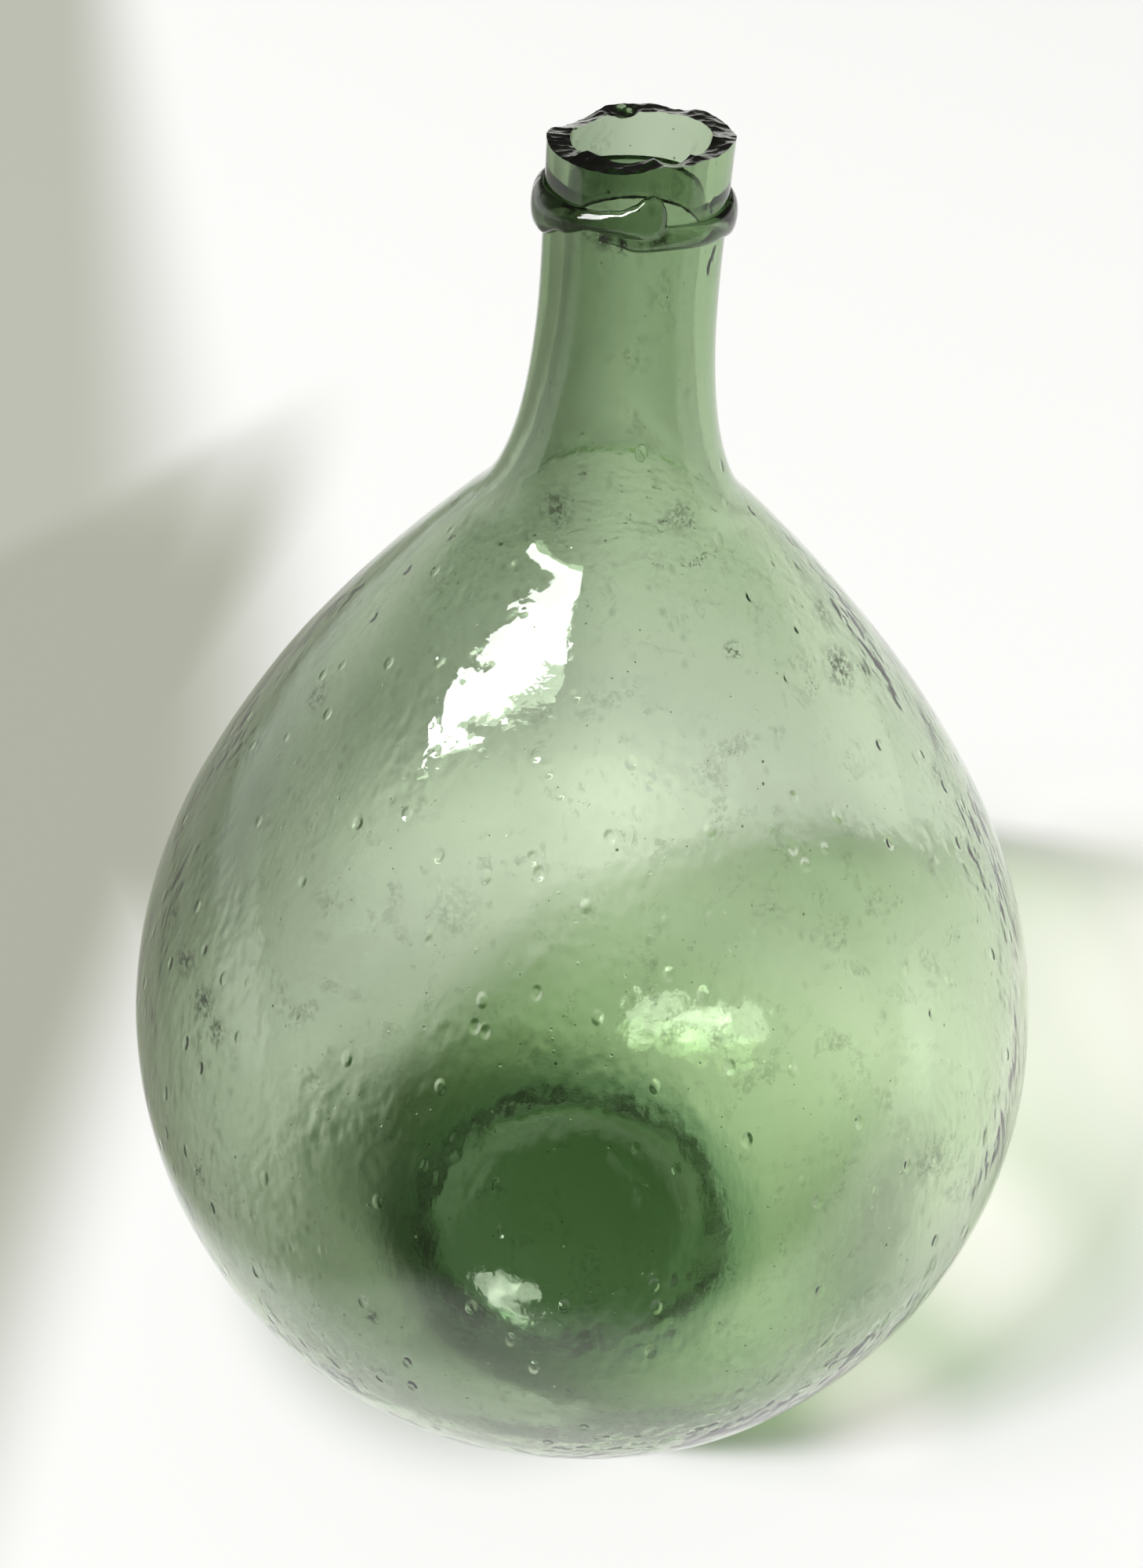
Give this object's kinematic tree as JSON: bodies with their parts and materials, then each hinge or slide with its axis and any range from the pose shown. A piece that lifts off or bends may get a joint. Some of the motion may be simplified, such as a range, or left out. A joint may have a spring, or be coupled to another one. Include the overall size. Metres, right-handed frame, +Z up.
{
  "type": "demijohn",
  "caption": "Round-bellied hand-blown green glass demijohn with a pushed-up base, a long slim neck, a cracked-off lip and a wound thread of glass just below it.",
  "frame": {"origin": "on the floor, under the middle of the belly", "axes": "+Z up along the bottle, +X to the side that the neck leans to, -Y towards the front, where the thread's ends lap"},
  "size_m": [0.332, 0.332, 0.4718],
  "materials": {
    "bottle_glass": "blown glass, glossy, with pits, drips and bubbles",
    "thread_glass": "fire-polished glass, glossy, darker where it is thick"
  },
  "bodies": {
    "root": {"bottle": "bottle_glass", "neck_thread": "thread_glass"}
  },
  "joints": []
}
